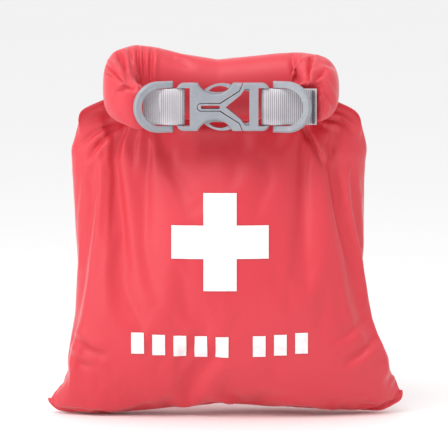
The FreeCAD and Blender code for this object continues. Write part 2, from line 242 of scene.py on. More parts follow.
def make_pouch():
    """Both panels as one cloth, sewn at the sides and base, filled and hung from the collar."""
    index = {}
    points, flat, pins = [], [], []
    nu, nv = PANEL_COLUMNS, PANEL_ROWS

    def vertex(i, j, front):
        shared = i in (0, nu) or j == 0
        key = (i, j, True if shared else front)
        if key not in index:
            u, v = 2.0 * i / nu - 1.0, j / nv
            index[key] = len(points)
            points.append([c * MM for c in panel_point(u, v, front)])
            flat.append([c * MM for c in panel_flat(u, v)])
            pins.append(1.0 if j >= nv - 1 else (0.9 if j == 0 else 0.0))
        return index[key]

    faces, uvs = [], []
    for front in (True, False):
        for i in range(nu):
            for j in range(nv):
                corners = ((i, j), (i + 1, j), (i + 1, j + 1), (i, j + 1))
                quad = [vertex(a, b, front) for a, b in corners]
                uv = [panel_flat(2.0 * a / nu - 1.0, b / nv) for a, b in corners]
                uv = [((x + (0 if front else 300)) * MM, z * MM) for x, _, z in uv]
                if not front:
                    quad, uv = quad[::-1], uv[::-1]
                faces.append(quad)
                uvs.extend(uv)
    pouch = mesh_object("pouch_fabric", points, faces)
    layer = pouch.data.uv_layers.new(name="cut")
    for loop, uv in zip(layer.data, uvs):
        loop.uv = uv
    return pouch, np.array(flat), pins, index


def floor_collider():
    """A hidden floor for the simulation, with a low rise that lifts the middle of the base."""
    nx, ny = 40, 20
    points, faces = [], []
    for i in range(nx + 1):
        for j in range(ny + 1):
            x, y = -150 + 300 * i / nx, -80 + 160 * j / ny
            z = 3.5 * math.exp(-((x + 6) / 30.0) ** 2)
            points.append((x * MM, y * MM, z * MM))
    for i in range(nx):
        for j in range(ny):
            a = i * (ny + 1) + j
            faces.append((a, a + ny + 1, a + ny + 2, a + 1))
    made = mesh_object("sim_floor", points, faces)
    made.modifiers.new("Collision", "COLLISION")
    made.collision.thickness_outer = 0.0008
    made.collision.cloth_friction = 20
    return made


def inflate(pouch, flat, pins, frames=36):
    """Lets the cloth settle from its start form to its cut size under pressure."""
    group = pouch.vertex_groups.new(name="held")
    for i, weight in enumerate(pins):
        if weight:
            group.add([i], weight, "REPLACE")
    pouch.shape_key_add(name="Basis")
    cut = pouch.shape_key_add(name="cut")
    for point, place in zip(cut.data, flat):
        point.co = place
    cut.value = 0.0
    modifier = pouch.modifiers.new("Cloth", "CLOTH")
    cloth = modifier.settings
    cloth.rest_shape_key = cut
    cloth.quality = 8
    cloth.mass = 0.15
    cloth.tension_stiffness = 25
    cloth.compression_stiffness = 25
    cloth.shear_stiffness = 12
    cloth.bending_stiffness = 0.35
    cloth.air_damping = 6
    cloth.use_pressure = True
    cloth.uniform_pressure_force = 9.0
    cloth.pressure_factor = 1.0
    cloth.vertex_group_mass = group.name
    cloth.pin_stiffness = 1.0
    cloth.effector_weights.gravity = 0.1
    modifier.collision_settings.use_collision = True
    modifier.collision_settings.distance_min = 0.0015
    modifier.collision_settings.collision_quality = 2
    modifier.collision_settings.use_self_collision = False
    run_cloth(pouch, frames)


def make_seam_tape(name, pouch, index, column):
    """Welded tape on the inside of one side seam, set in from the fabric that it lies on."""
    points = coordinates(pouch.data)
    inner = points - point_normals(pouch.data) * TAPE_INSET * MM
    step = 1 if column == 0 else -1
    lanes = [(column + 2 * step, False), (column + step, False), (column, True)]
    lanes += [(column + step, True), (column + 2 * step, True)]
    grid = [[inner[index[(i, j, front)]] for i, front in lanes] for j in TAPE_ROWS]
    faces = []
    for j in range(len(grid) - 1):
        for i in range(len(lanes) - 1):
            a = j * len(lanes) + i
            faces.append((a, a + 1, a + len(lanes) + 1, a + len(lanes)))
    return mesh_object(name, [p for row in grid for p in row], faces)


CONTENTS_ROOM = 1.2  # mm between the fabric and what is inside it
BULGE = 34.0  # mm, how far round it the fabric rises over something inside
REACH = 12.0  # mm, how deep something inside is looked for


def clear_contents(pouch, nodes):
    """Pushes the fabric out where something inside would come through it."""
    graph = bpy.context.evaluated_depsgraph_get()
    trees = [BVHTree.FromObject(node, graph) for node in nodes]
    mesh = pouch.data
    points = coordinates(mesh)
    normals = point_normals(mesh)
    push = np.zeros(len(points))
    for i, (place, normal) in enumerate(zip(points, normals)):
        out = Vector(normal)
        for tree in trees:
            hit, face, _, far = tree.ray_cast(Vector(place) - out * CONTENTS_ROOM * MM, out, REACH * MM)
            if hit and face.dot(out) > 0.1:
                push[i] = max(push[i], far)
    need = push.copy()
    for i in np.flatnonzero(need > 0.05 * MM):
        far = np.minimum(np.linalg.norm(points - points[i], axis=1) / (BULGE * MM), 1.0)
        same_side = np.clip(normals @ normals[i], 0.0, 1.0)
        push = np.maximum(push, need[i] * same_side * (1 + np.cos(math.pi * far)) / 2)
    set_coordinates(mesh, points + normals * push[:, None])


SHOULDER_TUCK = 0.34  # how far the mouth's ends move in towards the centre of the collar's bend


def tuck_shoulders(pouch):
    """Leads the ends of the pouch's mouth in under the folded ends of the collar."""
    points = coordinates(pouch.data) / MM
    for p in points:
        high = smooth(173.0, 182.0, p[2])
        end = smooth(COLLAR_STRAIGHT, COLLAR_STRAIGHT + 12.0, abs(p[0]))
        pull = SHOULDER_TUCK * high * end
        p[0] += (math.copysign(COLLAR_STRAIGHT, p[0]) - p[0]) * pull
        p[1] += (NECK_Y - NECK_BEND - p[1]) * pull
    set_coordinates(pouch.data, points * MM)


# Outer edge of the filled pouch seen from the front: height, left and right, in mm.
PROFILE = (
    (0.0, -93.0, 101.0),
    (5.0, -98.5, 106.0),
    (10.0, -95.5, 105.0),
    (16.0, -91.5, 102.5),
    (29.0, -86.0, 99.0),
    (43.0, -83.5, 92.0),
    (57.0, -81.0, 87.0),
    (84.0, -79.5, 82.5),
    (132.0, -82.0, 82.5),
    (152.0, -83.0, 83.5),
    (160.0, -81.5, 84.5),
    (168.0, -80.0, 83.5),
    (174.0, -79.5, 78.5),
    (179.0, -73.0, 73.0),
)
# Lowest edge of the pouch's front from left to right: x and height above the floor, in mm.
FRONT_EDGE = (
    (-98.0, 4.0),
    (-91.0, 0.5),
    (-64.0, 0.0),
    (-35.0, 2.0),
    (0.0, 5.5),
    (30.0, 3.5),
    (70.0, 2.0),
    (92.0, 0.8),
    (105.0, 4.5),
)
LEVEL = 5.0  # mm, height of the bands that the width is measured in


def fit_profile(pouch):
    """Stands the pouch on the floor and spreads its sides, and not its middle, out to the profile."""
    points = coordinates(pouch.data) / MM
    points[:, 2] -= points[:, 2].min()
    levels = np.arange(0.0, PROFILE[-1][0] + LEVEL, LEVEL)
    heights = [row[0] for row in PROFILE]
    for side, column in ((-1, 1), (1, 2)):
        widths = []
        for level in levels:
            near = np.abs(points[:, 2] - level) < LEVEL * 0.7
            widths.append((points[near, 0] * side).max())
        wanted = np.interp(levels, heights, [row[column] * side for row in PROFILE])
        ratio = np.convolve(np.pad(wanted / widths, 1, mode="edge"), (0.25, 0.5, 0.25), "valid")
        ratio = np.interp(points[:, 2], levels, ratio)
        width = np.interp(points[:, 2], levels, widths)
        weight = smooth(0.35, 0.95, points[:, 0] * side / width)
        fade = 1.0 - smooth(PROFILE[-1][0], PROFILE[-1][0] + LEVEL, points[:, 2])
        points[:, 0] *= 1.0 + (ratio - 1.0) * weight * fade
    set_coordinates(pouch.data, points * MM)


def fit_front_edge(pouch):
    """Bends the base's front edge to its wavy line. The back of the base stays on the floor."""
    points = coordinates(pouch.data) / MM
    columns = np.arange(-100.0, 106.0, LEVEL)
    front = points[points[:, 1] < 2.0]
    lowest = []
    for column in columns:
        near = np.abs(front[:, 0] - column) < LEVEL
        lowest.append(front[near, 2].min() if near.any() else np.nan)
    lowest = np.array(lowest)
    known = ~np.isnan(lowest)
    found = np.interp(points[:, 0], columns[known], lowest[known])
    wanted = np.interp(points[:, 0], *zip(*FRONT_EDGE))
    low = 1.0 - smooth(6.0, 34.0, points[:, 2])
    ahead = 1.0 - smooth(0.0, 14.0, points[:, 1])
    points[:, 2] += (wanted - found) * low * ahead
    points[:, 2] = np.maximum(points[:, 2], 0.0)
    set_coordinates(pouch.data, points * MM)


# ---------------------------------------------------------------- the rolled collar
ARC = math.pi * COLLAR_BEND
TIP = COLLAR_STRAIGHT + ARC
# Along each half of the collar, from its middle: length, half thickness, half height, centre height (mm).
COLLAR_LEFT = (
    (0.0, 11.0, 18.0, 184.0),
    (20.0, 11.2, 18.4, 186.6),
    (34.0, 11.6, 19.0, 189.4),
    (46.0, 11.4, 19.4, 190.4),
    (57.0, 10.0, 18.6, 188.4),
    (66.0, 9.4, 15.6, 184.2),
    (72.0, 8.8, 13.6, 180.4),
    (78.0, 7.0, 12.8, 177.2),
    (82.0, 5.0, 11.8, 176.6),
)
COLLAR_RIGHT = (
    (0.0, 11.0, 18.0, 184.0),
    (20.0, 11.2, 18.2, 185.6),
    (34.0, 11.6, 18.0, 187.2),
    (46.0, 12.2, 17.8, 187.8),
    (57.0, 13.6, 17.4, 186.8),
    (66.0, 12.4, 15.4, 183.6),
    (72.0, 8.6, 12.8, 180.0),
    (79.0, 5.0, 11.6, 177.2),
    (86.0, 1.8, 10.8, 177.0),
)
COLLAR_RELAXED = 105.0  # degrees: the bend of each end in the unfolded roll
COLLAR_SPARE = 1.05  # the roll's cloth is cut this much larger than its form
COLLAR_SECTIONS = 120
COLLAR_ROUND = 60
COLLAR_GIRTH = 92.0  # mm round the roll, for the weave
HELD_TIP = 4.0  # mm at each tip that the simulation holds still


def collar_frame(s, turn):
    """Place and outward direction on the collar's line, with each end arc bent by turn (radians)."""
    side = math.copysign(1.0, s)
    s = abs(s)
    radius = ARC / turn
    if s <= COLLAR_STRAIGHT:
        return (side * s, 0.0), (0.0, 1.0)
    bent = min(s - COLLAR_STRAIGHT, ARC) / radius
    x = COLLAR_STRAIGHT + radius * math.sin(bent)
    y = -radius * (1 - math.cos(bent))
    rest = max(0.0, s - TIP)
    x += math.cos(bent) * rest
    y -= math.sin(bent) * rest
    return (side * x, y), (side * math.sin(bent), math.cos(bent))


def collar_size(s):
    """Half thickness, half height and centre height at a signed length along the collar."""
    table = COLLAR_RIGHT if s > 0 else COLLAR_LEFT
    at = [row[0] for row in table]
    return [float(np.interp(abs(s), at, [row[k] for row in table])) for k in (1, 2, 3)]


def collar_stations():
    """Signed length along the collar of each section, from the left tip to the right one."""
    return np.linspace(-COLLAR_LEFT[-1][0], COLLAR_RIGHT[-1][0], COLLAR_SECTIONS + 1)


def collar_points(turn, roll_y):
    """Every section of the collar, from the left tip to the right one."""
    points = []
    for s in collar_stations():
        (x, y), (ox, oy) = collar_frame(s, turn)
        thick, high, z = collar_size(s)
        for k in range(COLLAR_ROUND):
            angle = 2 * math.pi * k / COLLAR_ROUND
            c, q = math.cos(angle), math.sin(angle)
            square = 0.8
            if c > 0:
                bend = smooth(48.0, 64.0, abs(s))
                square -= 0.45 * (1 - bend) if q < 0 else 0.15 * bend
            out = math.copysign(abs(c) ** square, c) * thick
            up = math.copysign(abs(q) ** 0.8, q) * high
            points.append(((x + ox * out) * MM, (y + oy * out + roll_y) * MM, (z + up) * MM))
    return points


def tuck_under_strap(collar, plane_y, left, right, low, high):
    """Presses the collar's right end flat behind the webbing that is sewn on it."""
    points = coordinates(collar.data)
    soft = 4.0 * MM
    x = smooth(left - soft, left, points[:, 0]) * (1 - smooth(right, right + soft, points[:, 0]))
    z = smooth(low - soft, low, points[:, 2]) * (1 - smooth(high, high + soft, points[:, 2]))
    ahead = np.minimum(points[:, 1] - plane_y, 0.0)
    points[:, 1] -= ahead * x * z
    set_coordinates(collar.data, points)


def make_collar(roll_y):
    """The roll as a closed tube of fabric in its folded form."""
    points = collar_points(math.pi, roll_y)
    n = COLLAR_ROUND
    faces = []
    for i in range(COLLAR_SECTIONS):
        for k in range(n):
            a, b = i * n + k, i * n + (k + 1) % n
            faces.append((a, b, b + n, a + n))
    last = COLLAR_SECTIONS * n
    for start, flip in ((0, True), (last, False)):
        half = n // 2
        for k in range(half):
            quad = [start + k, start + k + 1, start + (n - k - 1) % n, start + (n - k) % n]
            if len(set(quad)) < 4:
                quad = list(dict.fromkeys(quad))
            if len(quad) > 2:
                faces.append(tuple(quad[::-1] if flip else quad))
    collar = mesh_object("collar_fabric", points, faces)
    layer = collar.data.uv_layers.new(name="cut")
    stations = collar_stations()
    for polygon in collar.data.polygons:
        ks = [collar.data.loops[corner].vertex_index for corner in polygon.loop_indices]
        wraps = any(k % n == 0 for k in ks) and any(k % n > n / 2 for k in ks)
        for corner in polygon.loop_indices:
            k = collar.data.loops[corner].vertex_index
            row, col = divmod(k, n)
            col = n if wraps and col == 0 else col
            layer.data[corner].uv = (stations[row] * MM, col / n * COLLAR_GIRTH * MM)
    return collar


def settle_collar(collar, roll_y, frames=24):
    """Lets the bent roll crease and swell as a soft tube that was straighter and looser when it was made."""
    relaxed = np.array(collar_points(math.radians(COLLAR_RELAXED), roll_y))
    centre = relaxed.mean(0)
    relaxed = (relaxed - centre) * COLLAR_SPARE + centre
    group = collar.vertex_groups.new(name="held")
    stations = collar_stations()
    for i, s in enumerate(stations):
        for k in range(COLLAR_ROUND):
            angle = 2 * math.pi * k / COLLAR_ROUND
            out, up = math.cos(angle), math.sin(angle)
            weight = 0.0
            if s < stations[0] + HELD_TIP or s > stations[-1] - HELD_TIP:
                weight = 1.0
            elif abs(s) < COLLAR_STRAIGHT and out > 0.3 and up < 0.2:
                weight = 0.6
            if weight:
                group.add([i * COLLAR_ROUND + k], weight, "REPLACE")
    collar.shape_key_add(name="Basis")
    made = collar.shape_key_add(name="made")
    for point, place in zip(made.data, relaxed):
        point.co = place
    modifier = collar.modifiers.new("Cloth", "CLOTH")
    cloth = modifier.settings
    cloth.rest_shape_key = made
    cloth.quality = 8
    cloth.mass = 0.15
    cloth.tension_stiffness = 20
    cloth.compression_stiffness = 20
    cloth.shear_stiffness = 8
    cloth.bending_stiffness = 0.05
    cloth.air_damping = 8
    cloth.use_pressure = True
    cloth.uniform_pressure_force = 3.5
    cloth.vertex_group_mass = group.name
    cloth.effector_weights.gravity = 0.0
    modifier.collision_settings.use_collision = False
    run_cloth(collar, frames)


# ---------------------------------------------------------------- creases
# Folds in the front: points (x, z) in mm, then depth and width. A ridge rises on the left of each line.
COLLAR_CREASES = (
    (((-56.5, 208.0), (-52.5, 200.0), (-50.0, 193.5), (-46.5, 187.0)), 2.6, 1.5),
    (((-63.5, 199.5), (-59.0, 196.8), (-54.5, 193.5), (-48.5, 188.6)), 2.2, 1.4),
    (((-64.5, 195.5), (-60.0, 194.0), (-56.0, 191.5)), 1.2, 1.1),
    (((-55.0, 185.6), (-51.0, 188.2), (-46.5, 187.6)), 1.5, 1.0),
    (((-49.5, 209.0), (-48.5, 199.0), (-46.0, 189.0)), 1.3, 1.2),
    (((-45.0, 209.0), (-44.6, 198.0), (-43.0, 187.0)), 1.1, 1.1),
    (((-41.5, 208.0), (-41.2, 197.0), (-40.2, 185.0)), 1.2, 1.1),
    (((-37.0, 209.0), (-37.8, 197.0), (-37.6, 184.0)), 1.4, 1.3),
    (((-28.0, 206.0), (-24.0, 202.0), (-15.0, 198.5)), 0.8, 2.2),
    (((52.5, 206.0), (50.4, 197.0), (49.4, 190.0), (48.6, 184.0)), 2.6, 1.4),
    (((50.5, 186.5), (54.0, 192.0), (59.5, 196.5)), 1.9, 1.2),
    (((52.0, 188.5), (56.5, 190.0), (60.0, 184.0), (64.0, 177.0)), 1.7, 1.3),
    (((51.5, 186.0), (54.4, 180.0), (55.0, 174.0), (53.0, 168.0)), 1.5, 1.1),
    (((56.0, 186.5), (58.5, 180.0), (58.0, 172.0)), 1.2, 1.1),
    (((41.0, 206.0), (42.0, 197.0), (43.5, 189.0)), 0.9, 1.6),
    (((60.0, 200.0), (64.0, 199.0), (67.0, 196.0)), 1.0, 1.1),
)
POUCH_CREASES = (
    (((-52.0, 167.5), (-60.0, 165.5), (-70.0, 160.0), (-80.0, 151.0)), 1.6, 1.5),
    (((-52.0, 166.5), (-61.0, 160.5), (-68.0, 153.0), (-73.0, 145.0)), 1.9, 1.5),
    (((-51.0, 165.0), (-55.0, 157.0), (-57.0, 147.0)), 1.2, 1.6),
    (((-45.0, 162.0), (-47.5, 153.0), (-47.0, 143.0)), 0.9, 1.7),
    (((-40.0, 160.0), (-38.5, 152.0), (-39.0, 140.0)), 0.6, 1.8),
    (((46.0, 168.0), (50.5, 158.0), (55.0, 150.0), (59.5, 141.0)), 2.4, 1.5),
    (((52.0, 171.0), (60.0, 168.0), (68.0, 167.0), (77.0, 160.0)), 1.5, 1.3),
    (((54.0, 166.5), (60.0, 163.0), (67.0, 160.5)), 1.1, 1.4),
    (((-80.0, 44.0), (-72.0, 38.5), (-62.0, 36.0)), 1.6, 2.4),
    (((-84.0, 36.0), (-78.0, 31.0), (-68.0, 29.0)), 1.1, 2.0),
    (((88.0, 44.0), (80.0, 36.5), (70.0, 31.0)), 1.5, 2.4),
    (((80.0, 54.0), (73.0, 48.0), (66.0, 45.0)), 0.9, 2.2),
)
# Folds in the back, in the same form.
COLLAR_BACK_CREASES = (
    (((-57.0, 203.0), (-52.0, 194.0), (-50.0, 183.0)), 1.5, 1.9),
    (((-43.0, 208.0), (-40.0, 196.0), (-42.0, 182.0)), 1.2, 2.2),
    (((-30.0, 204.0), (-27.0, 193.0), (-24.0, 181.0)), 0.9, 2.6),
    (((-12.0, 201.0), (-10.0, 192.0), (-13.0, 181.0)), 0.8, 2.4),
    (((6.0, 199.0), (10.0, 189.0), (9.0, 180.0)), 1.0, 2.2),
    (((24.0, 202.0), (21.0, 191.0), (23.0, 180.0)), 0.9, 2.8),
    (((38.0, 204.0), (41.0, 194.0), (37.0, 182.0)), 1.4, 2.0),
    (((52.0, 203.0), (51.0, 193.0), (54.0, 182.0)), 1.4, 1.9),
    (((-62.0, 190.0), (-30.0, 187.0), (4.0, 189.5), (40.0, 187.0), (62.0, 189.0)), 0.9, 1.6),
)
POUCH_BACK_CREASES = (
    (((-52.0, 180.0), (-55.0, 168.0), (-63.0, 156.0)), 1.6, 2.2),
    (((-40.0, 180.0), (-41.0, 166.0), (-46.0, 148.0)), 1.5, 2.4),
    (((-24.0, 180.0), (-22.0, 168.0), (-25.0, 154.0)), 1.1, 2.4),
    (((-9.0, 180.0), (-11.0, 166.0), (-8.0, 146.0)), 1.0, 2.8),
    (((9.0, 180.0), (8.0, 168.0), (12.0, 156.0)), 1.1, 2.2),
    (((24.0, 180.0), (27.0, 165.0), (25.0, 149.0)), 1.2, 2.8),
    (((39.0, 180.0), (42.0, 167.0), (50.0, 154.0)), 1.6, 2.2),
    (((53.0, 180.0), (58.0, 168.0), (66.0, 160.0)), 1.5, 2.0),
    (((-74.0, 40.0), (-62.0, 33.0), (-50.0, 31.0)), 1.4, 2.6),
    (((84.0, 42.0), (72.0, 34.0), (60.0, 33.0)), 1.4, 2.6),
)
CREASE_GAIN = 1.5  # every crease is this many times its listed depth


def press_creases(piece, creases, face=-1.0):
    """Sinks each crease into the front (or back) of a piece, and lifts a soft ridge along one side of it."""
    mesh = piece.data
    points = coordinates(mesh) / MM
    normals = point_normals(mesh)
    facing = smooth(0.0, 0.45, face * normals[:, 1])
    shift = np.zeros(len(points))
    for line, depth, width in creases:
        line = np.array(line)
        legs = np.linalg.norm(np.diff(line, axis=0), axis=1)
        total, before = legs.sum(), 0.0
        nearest = np.full(len(points), 1e9)
        side, along = np.zeros(len(points)), np.zeros(len(points))
        for a, b, leg in zip(line, line[1:], legs):
            way = (b - a) / leg
            rel = points[:, [0, 2]] - a
            t = np.clip(rel @ way, 0.0, leg)
            away = rel - t[:, None] * way
            far = np.linalg.norm(away, axis=1)
            closer = far < nearest
            nearest[closer] = far[closer]
            side[closer] = np.sign(way[0] * away[:, 1] - way[1] * away[:, 0])[closer]
            along[closer] = ((before + t) / total)[closer]
            before += leg
        taper = np.sin(np.pi * np.clip(0.12 + 0.86 * along, 0, 1)) ** 0.6
        groove = np.exp(-((nearest / width) ** 2))
        ridge = np.exp(-(((nearest * side - 1.9 * width) / (1.3 * width)) ** 2))
        shift += taper * depth * CREASE_GAIN * (0.5 * ridge - groove)
    set_coordinates(mesh, (points + normals * (shift * facing)[:, None]) * MM)


# ---------------------------------------------------------------- webbing
RIB_PITCH = 1.12
RIB_HEIGHT = 0.17
WEBBING_HALF = 0.56  # half thickness between the ribs
SEWN_OFF = 0.78  # each layer's distance from the strap's middle plane where it is sewn
BAR_OFF = 2.35  # and where it passes the bar
BAR_INSET = 3.0  # the bar's centre is this far inside the strap's end
WIDTH_ROWS = (0.0, 0.3, 0.6, 0.9, 0.95, 0.985, 1.0)  # rows of points from the strap's middle to its edge
COVERED_TAIL_X = -46.5  # the left strap ends here under the collar's fabric


def webbing_line(side, box_low, box_high, plane_y):
    """The centre line of a strap, in mm: from its sewn end along the front, round the bar and back."""
    sign = -1.0 if side == "left" else 1.0
    tail, bar = (box_low[0], box_high[0]) if sign < 0 else (box_high[0], box_low[0])
    if sign < 0:
        tail = COVERED_TAIL_X
    bar += sign * BAR_INSET
    points = []
    ring = RING_BAR[side]
    front = (
        (tail, SEWN_OFF),
        (ring + sign * 7.5, SEWN_OFF),
        (ring + sign * 3.0, BAR_OFF - 0.15),
        (ring, BAR_OFF + 0.25),
        (ring - sign * 2.6, BAR_OFF),
        (bar, BAR_OFF),
    )
    for x, off in front:
        points.append((x, plane_y - off))
    for step in range(1, 12):
        turn = math.pi * step / 12
        points.append((bar - sign * BAR_OFF * math.sin(turn), plane_y - BAR_OFF * math.cos(turn)))
    for x, off in front[::-1]:
        points.append((x, plane_y + off))
    return np.array(points)


def resample(points, step):
    """Evenly spaced points along a polyline, after its corners are eased."""
    eased = points.copy()
    for _ in range(2):
        mids = [eased[0]]
        for a, b in zip(eased, eased[1:]):
            mids += [a * 0.75 + b * 0.25, a * 0.25 + b * 0.75]
        eased = np.array(mids + [eased[-1]])
    run = np.concatenate([[0.0], np.cumsum(np.linalg.norm(np.diff(eased, axis=0), axis=1))])
    count = int(run[-1] / step)
    at = np.linspace(0.0, run[-1], count + 1)
    line = np.stack([np.interp(at, run, eased[:, k]) for k in (0, 1)], 1)
    return line, at


def make_webbing(side, low, high, plane_y):
    """A strap as ribbed woven webbing, with a soft wave so that it isn't machine-flat."""
    line, at = resample(webbing_line(side, low, high, plane_y), RIB_PITCH / 6)
    tangent = np.gradient(line, axis=0)
    tangent /= np.linalg.norm(tangent, axis=1)[:, None]
    normal = np.stack([tangent[:, 1], -tangent[:, 0]], 1)
    half_width = (high[2] - low[2]) / 2
    middle_z = (high[2] + low[2]) / 2
    across = half_width * np.array([-row for row in WIDTH_ROWS[:0:-1]] + list(WIDTH_ROWS))
    points, faces = [], []
    rows = len(across)
    for i, (place, out, run) in enumerate(zip(line, normal, at)):
        rib = RIB_HEIGHT * abs(math.sin(math.pi * run / RIB_PITCH)) ** 0.7
        for face in (1, -1):
            for z in across:
                edge = 1.0 - 0.55 * smooth(0.93, 1.0, abs(z) / half_width)
                lean = 0.10 * math.sin(z * 1.9 + run * 0.8)
                off = face * (WEBBING_HALF + rib) * edge
                spot = place + out * off
                points.append((spot[0] * MM, spot[1] * MM, (middle_z + z + 0.06 * lean) * MM))
    for i in range(len(line) - 1):
        a, b = i * rows * 2, (i + 1) * rows * 2
        for k in range(rows - 1):
            faces.append((a + k, b + k, b + k + 1, a + k + 1))
            faces.append((a + rows + k, a + rows + k + 1, b + rows + k + 1, b + rows + k))
        faces.append((a, a + rows, b + rows, b))
        top = rows - 1
        faces.append((a + top, b + top, b + rows + top, a + rows + top))
    for a in (0, (len(line) - 1) * rows * 2):
        cap = [a + k for k in range(rows)] + [a + rows + k for k in reversed(range(rows))]
        faces.append(tuple(cap if a == 0 else cap[::-1]))
    return mesh_object(side + "_webbing", points, faces)


def make_bar_tack(name, x, low, high, y):
    """A close zigzag of thread across the end of a strap."""
    curve = bpy.data.curves.new(name, "CURVE")
    curve.dimensions = "3D"
    curve.bevel_depth = 0.26 * MM
    curve.bevel_resolution = 2
    spline = curve.splines.new("POLY")
    turns = int((high - low) / 0.85)
    spline.points.add(turns * 4)
    for i, point in enumerate(spline.points):
        swing = (0.0, 1.0, 0.0, -1.0)[i % 4]
        lift = 0.14 if i % 2 else 0.34
        point.co = ((x + 1.0 * swing) * MM, (y - lift) * MM, (low + (high - low) * i / (turns * 4)) * MM, 1.0)
    made = bpy.data.objects.new(name, curve)
    bpy.context.scene.collection.objects.link(made)
    return made


# ---------------------------------------------------------------- print
INK_PROUD = 0.4 * MM  # how far the print stands off the fabric


def front_tree(pouch):
    """The pouch's surface, to lay the print on."""
    graph = bpy.context.evaluated_depsgraph_get()
    return BVHTree.FromObject(pouch, graph)


def printed(name, tree, cells, fineness=0.6):
    """White ink laid on the front of the pouch, over cells: (left, right, low, high) boxes in mm."""
    points, faces, index = [], [], {}

    def vertex(x, z):
        key = (round(x, 3), round(z, 3))
        if key not in index:
            origin = Vector((x * MM, -0.2, z * MM))
            place, normal, _, _ = tree.ray_cast(origin, Vector((0, 1, 0)))
            if normal.y > 0:
                normal = -normal
            index[key] = len(points)
            points.append(place + normal * INK_PROUD)
        return index[key]

    for left, right, low, high in cells:
        nx = max(1, round((right - left) / fineness))
        nz = max(1, round((high - low) / fineness))
        xs, zs = np.linspace(left, right, nx + 1), np.linspace(low, high, nz + 1)
        for a, b in zip(xs, xs[1:]):
            for c, d in zip(zs, zs[1:]):
                faces.append((vertex(a, c), vertex(b, c), vertex(b, d), vertex(a, d)))
    return mesh_object(name, points, faces)


def make_prints(tree):
    """A plain cross, and a row of plain bars below it where the lettering would be."""
    x, z, half, arm = CROSS
    cross = printed(
        "print_cross",
        tree,
        (
            (x - arm, x + arm, z - half, z - arm),
            (x - half, x - arm, z - arm, z + arm),
            (x - arm, x + arm, z - arm, z + arm),
            (x + arm, x + half, z - arm, z + arm),
            (x - arm, x + arm, z + arm, z + half),
        ),
    )
    left, right, base, height = BARS
    pitch = (right - left) / 8.6
    cells = []
    for k in range(8):
        start = left + pitch * (k + (0.75 if k > 4 else 0.0))
        droop = 2.2 * (1 - ((start + pitch / 2 - (left + right) / 2) / (right - left) * 2) ** 2)
        cells.append((start, start + pitch * 0.6, base - droop, base - droop + height))
    bars = printed("print_bars", tree, cells)
    return cross, bars


# ---------------------------------------------------------------- materials
WEAVE_PITCH = 0.0011  # metres, of the pouch's fabric


class Nodes:
    """A short way to write a material's node tree."""

    def __init__(self, name):
        self.material = bpy.data.materials.new(name)
        self.material.use_nodes = True
        self.tree = self.material.node_tree
        self.shader = self.tree.nodes["Principled BSDF"]

    def add(self, kind, inputs=(), **settings):
        node = self.tree.nodes.new("ShaderNode" + kind)
        for key, value in settings.items():
            setattr(node, key, value)
        for key, value in dict(inputs).items():
            self.put(node.inputs[key], value)
        return node

    def put(self, socket, value):
        if isinstance(value, bpy.types.NodeSocket):
            self.tree.links.new(value, socket)
        else:
            socket.default_value = value

    def math(self, operation, a, b=0.0, clamp=False):
        node = self.add("Math", operation=operation, use_clamp=clamp)
        self.put(node.inputs[0], a)
        self.put(node.inputs[1], b)
        return node.outputs[0]

    def mix(self, amount, a, b):
        node = self.add("Mix", data_type="RGBA")
        self.put(node.inputs["Factor"], amount)
        self.put(node.inputs[6], a)
        self.put(node.inputs[7], b)
        return node.outputs[2]

    def noise(self, where, scale, detail=2.0, rough=0.5):
        node = self.add("TexNoise", {"Vector": where, "Scale": scale, "Detail": detail, "Roughness": rough})
        return node.outputs[0]

    def bump(self, height, strength, distance, below=None):
        node = self.add("Bump", {"Height": height, "Strength": strength, "Distance": distance})
        if below is not None:
            self.put(node.inputs["Normal"], below)
        return node.outputs[0]

    def ramp(self, value, low, high):
        """Maps low..high to 0..1, smoothly and clamped."""
        node = self.add("MapRange", {"Value": value, "From Min": low, "From Max": high})
        node.interpolation_type = "SMOOTHSTEP"
        return node.outputs[0]

    def object_place(self):
        return self.add("TexCoord").outputs["Object"]

    def finish(self, **values):
        for key, value in values.items():
            self.put(self.shader.inputs[key.replace("_", " ")], value)
        return self.material


def weave_height(n, where, pitch):
    """A plain weave: two sets of rounded threads, crossing over and under."""
    split = n.add("SeparateXYZ", {"Vector": where})
    turn = 2 * math.pi / pitch
    x = n.math("SINE", n.math("MULTIPLY", split.outputs[0], turn))
    y = n.math("SINE", n.math("MULTIPLY", split.outputs[1], turn))
    return n.math("MULTIPLY", x, y)


def fabric_material():
    """Red coated nylon: fine weave, slight ripples in the coating, and convex ridges and edges painted paler
    pink: a painted highlight, partly rub.
    """
    n = Nodes("red_coated_nylon")
    cut = n.add("UVMap", uv_map="cut").outputs["UV"]
    place = n.object_place()
    weave = weave_height(n, cut, WEAVE_PITCH)
    fibre = n.noise(cut, 900.0, 2.0)
    ripple = n.noise(place, 26.0, 4.0, 0.55)
    fine_ripple = n.noise(place, 110.0, 3.0, 0.6)
    tone = n.noise(place, 9.0, 3.0)
    base = n.mix(n.ramp(tone, 0.3, 0.7), (0.66, 0.034, 0.053, 1), (0.70, 0.044, 0.064, 1))
    # painted highlight: convex ridges and edges are mixed towards pale pink in place of the sheen on them;
    # partly rub
    painted_highlight_and_rub = n.ramp(n.add("NewGeometry").outputs["Pointiness"], 0.52, 0.62)
    base = n.mix(n.math("MULTIPLY", painted_highlight_and_rub, 0.22), base, (0.80, 0.19, 0.22, 1))
    base = n.mix(n.math("MULTIPLY", n.ramp(weave, -1.0, 1.0), 0.06), base, (0.52, 0.022, 0.034, 1))
    normal = n.bump(ripple, 0.10, 0.004)
    normal = n.bump(fine_ripple, 0.08, 0.0012, normal)
    normal = n.bump(n.math("ADD", weave, n.math("MULTIPLY", fibre, 0.6)), 0.12, 0.00012, normal)
    rough = n.math("ADD", 0.40, n.math("MULTIPLY", fine_ripple, 0.12))
    return n.finish(Base_Color=base, Roughness=rough, Normal=normal, Sheen_Weight=0.3, Sheen_Roughness=0.4)


